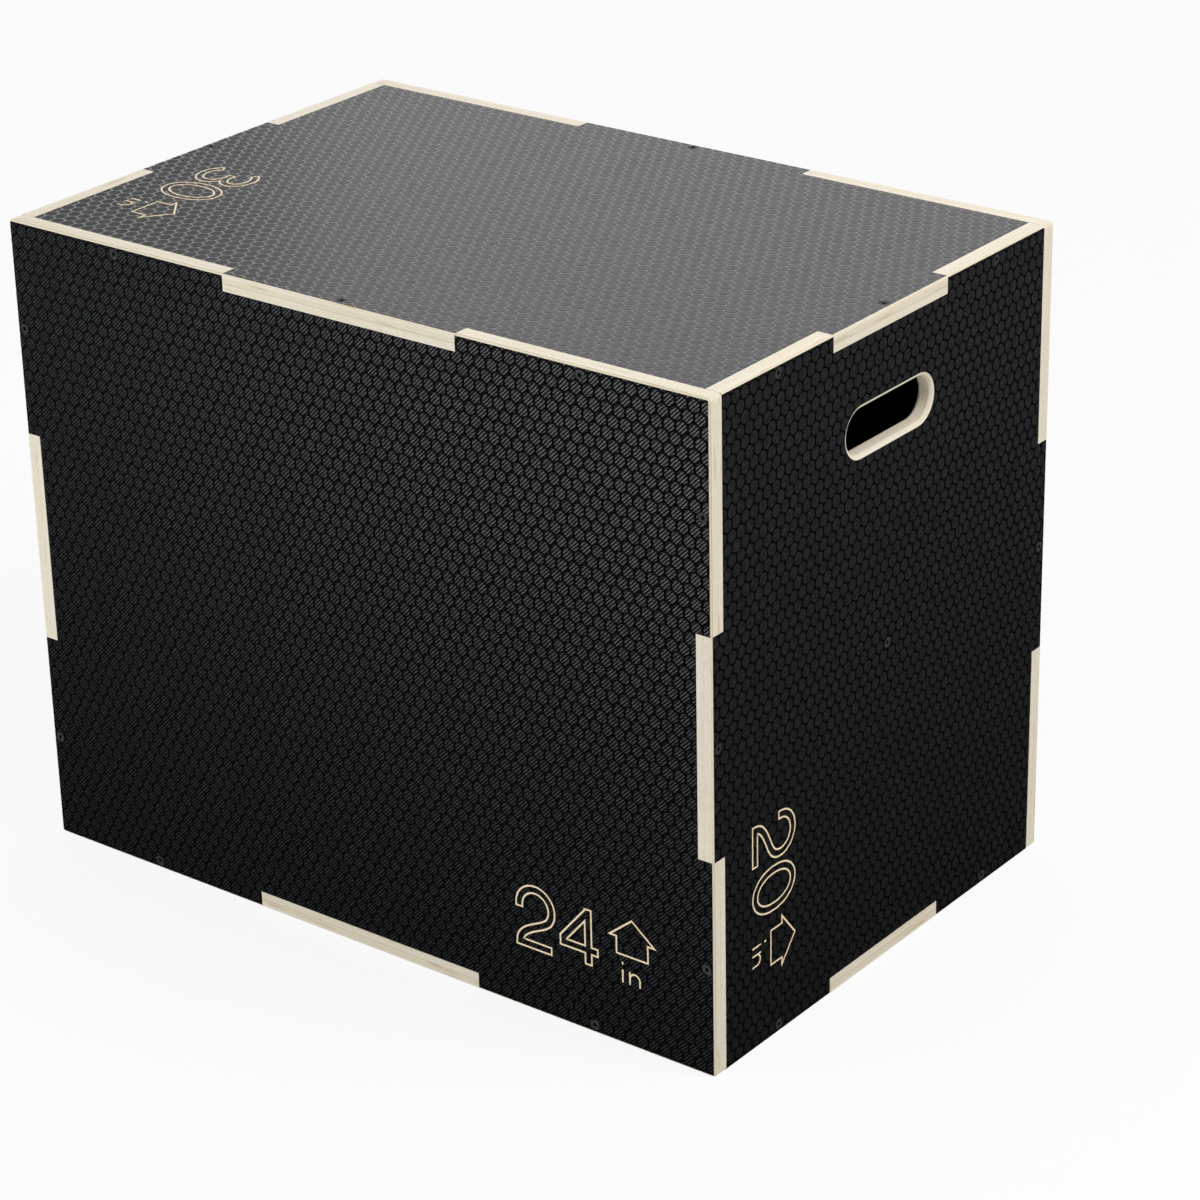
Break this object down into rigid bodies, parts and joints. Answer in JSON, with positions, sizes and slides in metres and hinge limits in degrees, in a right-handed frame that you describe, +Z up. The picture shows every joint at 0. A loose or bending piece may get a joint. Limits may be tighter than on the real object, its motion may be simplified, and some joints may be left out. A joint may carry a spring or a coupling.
{
  "type": "plyo box",
  "caption": "Plywood jump box of interlocking screwed panels with a honeycomb grip film outside, a hand slot in each end and a brace inside.",
  "frame": {"origin": "middle of the underside, on the floor", "axes": "+Z up, +X along the longest side towards one end panel, -Y towards the front face"},
  "size_m": [0.762, 0.508, 0.6096],
  "materials": {
    "birch_plywood": "sanded birch plywood, edges eased and clear sealed",
    "grip_film": "dark resin film pressed with a honeycomb tread",
    "liner_film": "smooth dark brown resin film",
    "screw_steel": "dark coated steel"
  },
  "bodies": {
    "root": {"front_panel": "birch_plywood", "back_panel": "birch_plywood", "left_panel": "birch_plywood", "right_panel": "birch_plywood", "top_panel": "birch_plywood", "bottom_panel": "birch_plywood", "centre_brace": "birch_plywood", "front_grip_film": "grip_film", "back_grip_film": "grip_film", "left_grip_film": "grip_film", "right_grip_film": "grip_film", "top_grip_film": "grip_film", "bottom_grip_film": "grip_film", "front_liner": "liner_film", "back_liner": "liner_film", "left_liner": "liner_film", "right_liner": "liner_film", "top_liner": "liner_film", "bottom_liner": "liner_film", "front_screws": "screw_steel", "back_screws": "screw_steel", "left_screws": "screw_steel", "right_screws": "screw_steel", "top_screws": "screw_steel", "bottom_screws": "screw_steel"}
  },
  "joints": []
}
